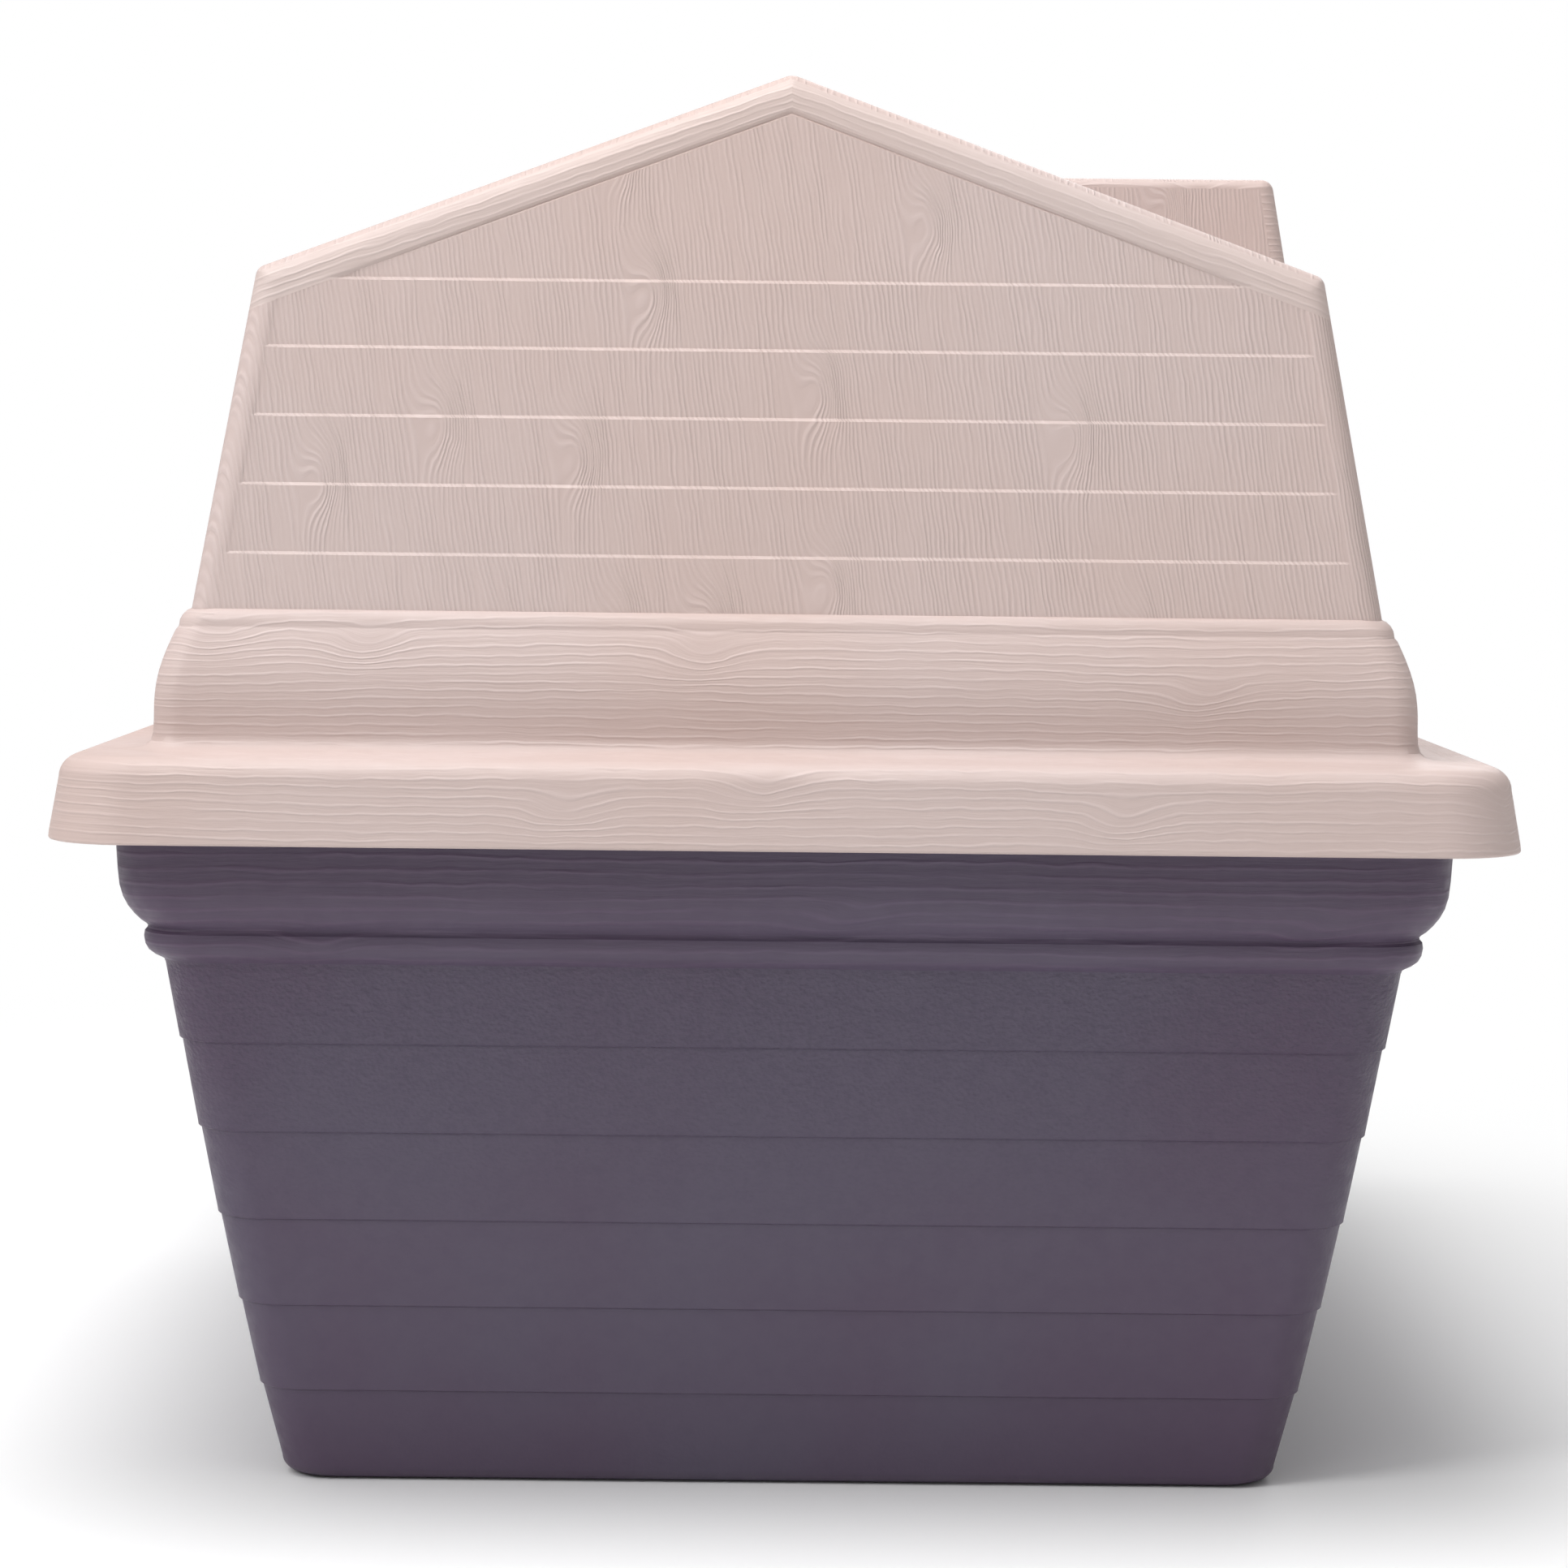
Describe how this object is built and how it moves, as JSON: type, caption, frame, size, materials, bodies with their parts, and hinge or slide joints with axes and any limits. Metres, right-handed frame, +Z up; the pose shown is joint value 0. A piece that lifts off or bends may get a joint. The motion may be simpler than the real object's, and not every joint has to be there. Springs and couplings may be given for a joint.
{
  "type": "dog house",
  "caption": "Two-piece moulded plastic kennel: tapered tub with lap siding, gabled lift-off roof with side chimney, swinging door and adjustable vent.",
  "frame": {"origin": "centre of the footprint on the ground", "axes": "+Z up, the doorway faces -Y, +Y runs along the length towards the closed rear gable, the chimney stands on the -X side"},
  "size_m": [0.756, 0.95, 0.752],
  "materials": {
    "tub": "moulded, pebbled",
    "roof": "moulded wood grain",
    "trim": "moulded, fine grain",
    "knob": "moulded",
    "slider": "moulded",
    "window": "clear",
    "magnet": "matte",
    "plug": "matte",
    "steel": "brushed",
    "brass": "machined"
  },
  "bodies": {
    "base": {"base_shell": "tub", "rim_inserts": "brass", "door_trim_lower": "trim", "trim_screws_lower": "steel", "sill_magnet": "magnet"},
    "roof": {"roof_shell": "roof", "door_trim_upper": "trim", "trim_screws_upper": "steel", "hinge_rod": "steel", "vent_grille": "trim", "vent_screws": "steel"},
    "flap": {"flap_frame": "trim", "flap_window": "window", "flap_magnet": "magnet"},
    "slider": {"vent_slider": "slider"},
    "plug": {"drain_plug": "plug"},
    "screw_left_front": {"thumb_knob_left_front": "knob", "thumb_stud_left_front": "steel"},
    "screw_left_rear": {"thumb_knob_left_rear": "knob", "thumb_stud_left_rear": "steel"},
    "screw_right_front": {"thumb_knob_right_front": "knob", "thumb_stud_right_front": "steel"},
    "screw_right_rear": {"thumb_knob_right_rear": "knob", "thumb_stud_right_rear": "steel"}
  },
  "joints": [
    {"name": "roof_lift", "type": "slide", "parent": "base", "child": "roof", "axis": [0, 0, 1], "range_m": [0, 0.34]},
    {"name": "flap_swing", "type": "hinge", "parent": "roof", "child": "flap", "pos_m": [0, -0.385, 0.53], "axis": [1, 0, 0], "range_deg": [-80, 80]},
    {"name": "vent_slide", "type": "slide", "parent": "roof", "child": "slider", "axis": [0, 1, 0], "range_m": [0, 0.007]},
    {"name": "drain_plug_lift", "type": "slide", "parent": "base", "child": "plug", "axis": [0, 0, 1], "range_m": [0, 0.05]},
    {"name": "thumb_screw_left_front_turn", "type": "hinge", "parent": "roof", "child": "screw_left_front", "pos_m": [-0.3452, -0.29, 0.405], "axis": [0, 0, 1], "continuous": true},
    {"name": "thumb_screw_left_rear_turn", "type": "hinge", "parent": "roof", "child": "screw_left_rear", "pos_m": [-0.3452, 0.11, 0.405], "axis": [0, 0, 1], "continuous": true},
    {"name": "thumb_screw_right_front_turn", "type": "hinge", "parent": "roof", "child": "screw_right_front", "pos_m": [0.3452, -0.29, 0.405], "axis": [0, 0, 1], "continuous": true},
    {"name": "thumb_screw_right_rear_turn", "type": "hinge", "parent": "roof", "child": "screw_right_rear", "pos_m": [0.3452, 0.11, 0.405], "axis": [0, 0, 1], "continuous": true}
  ]
}
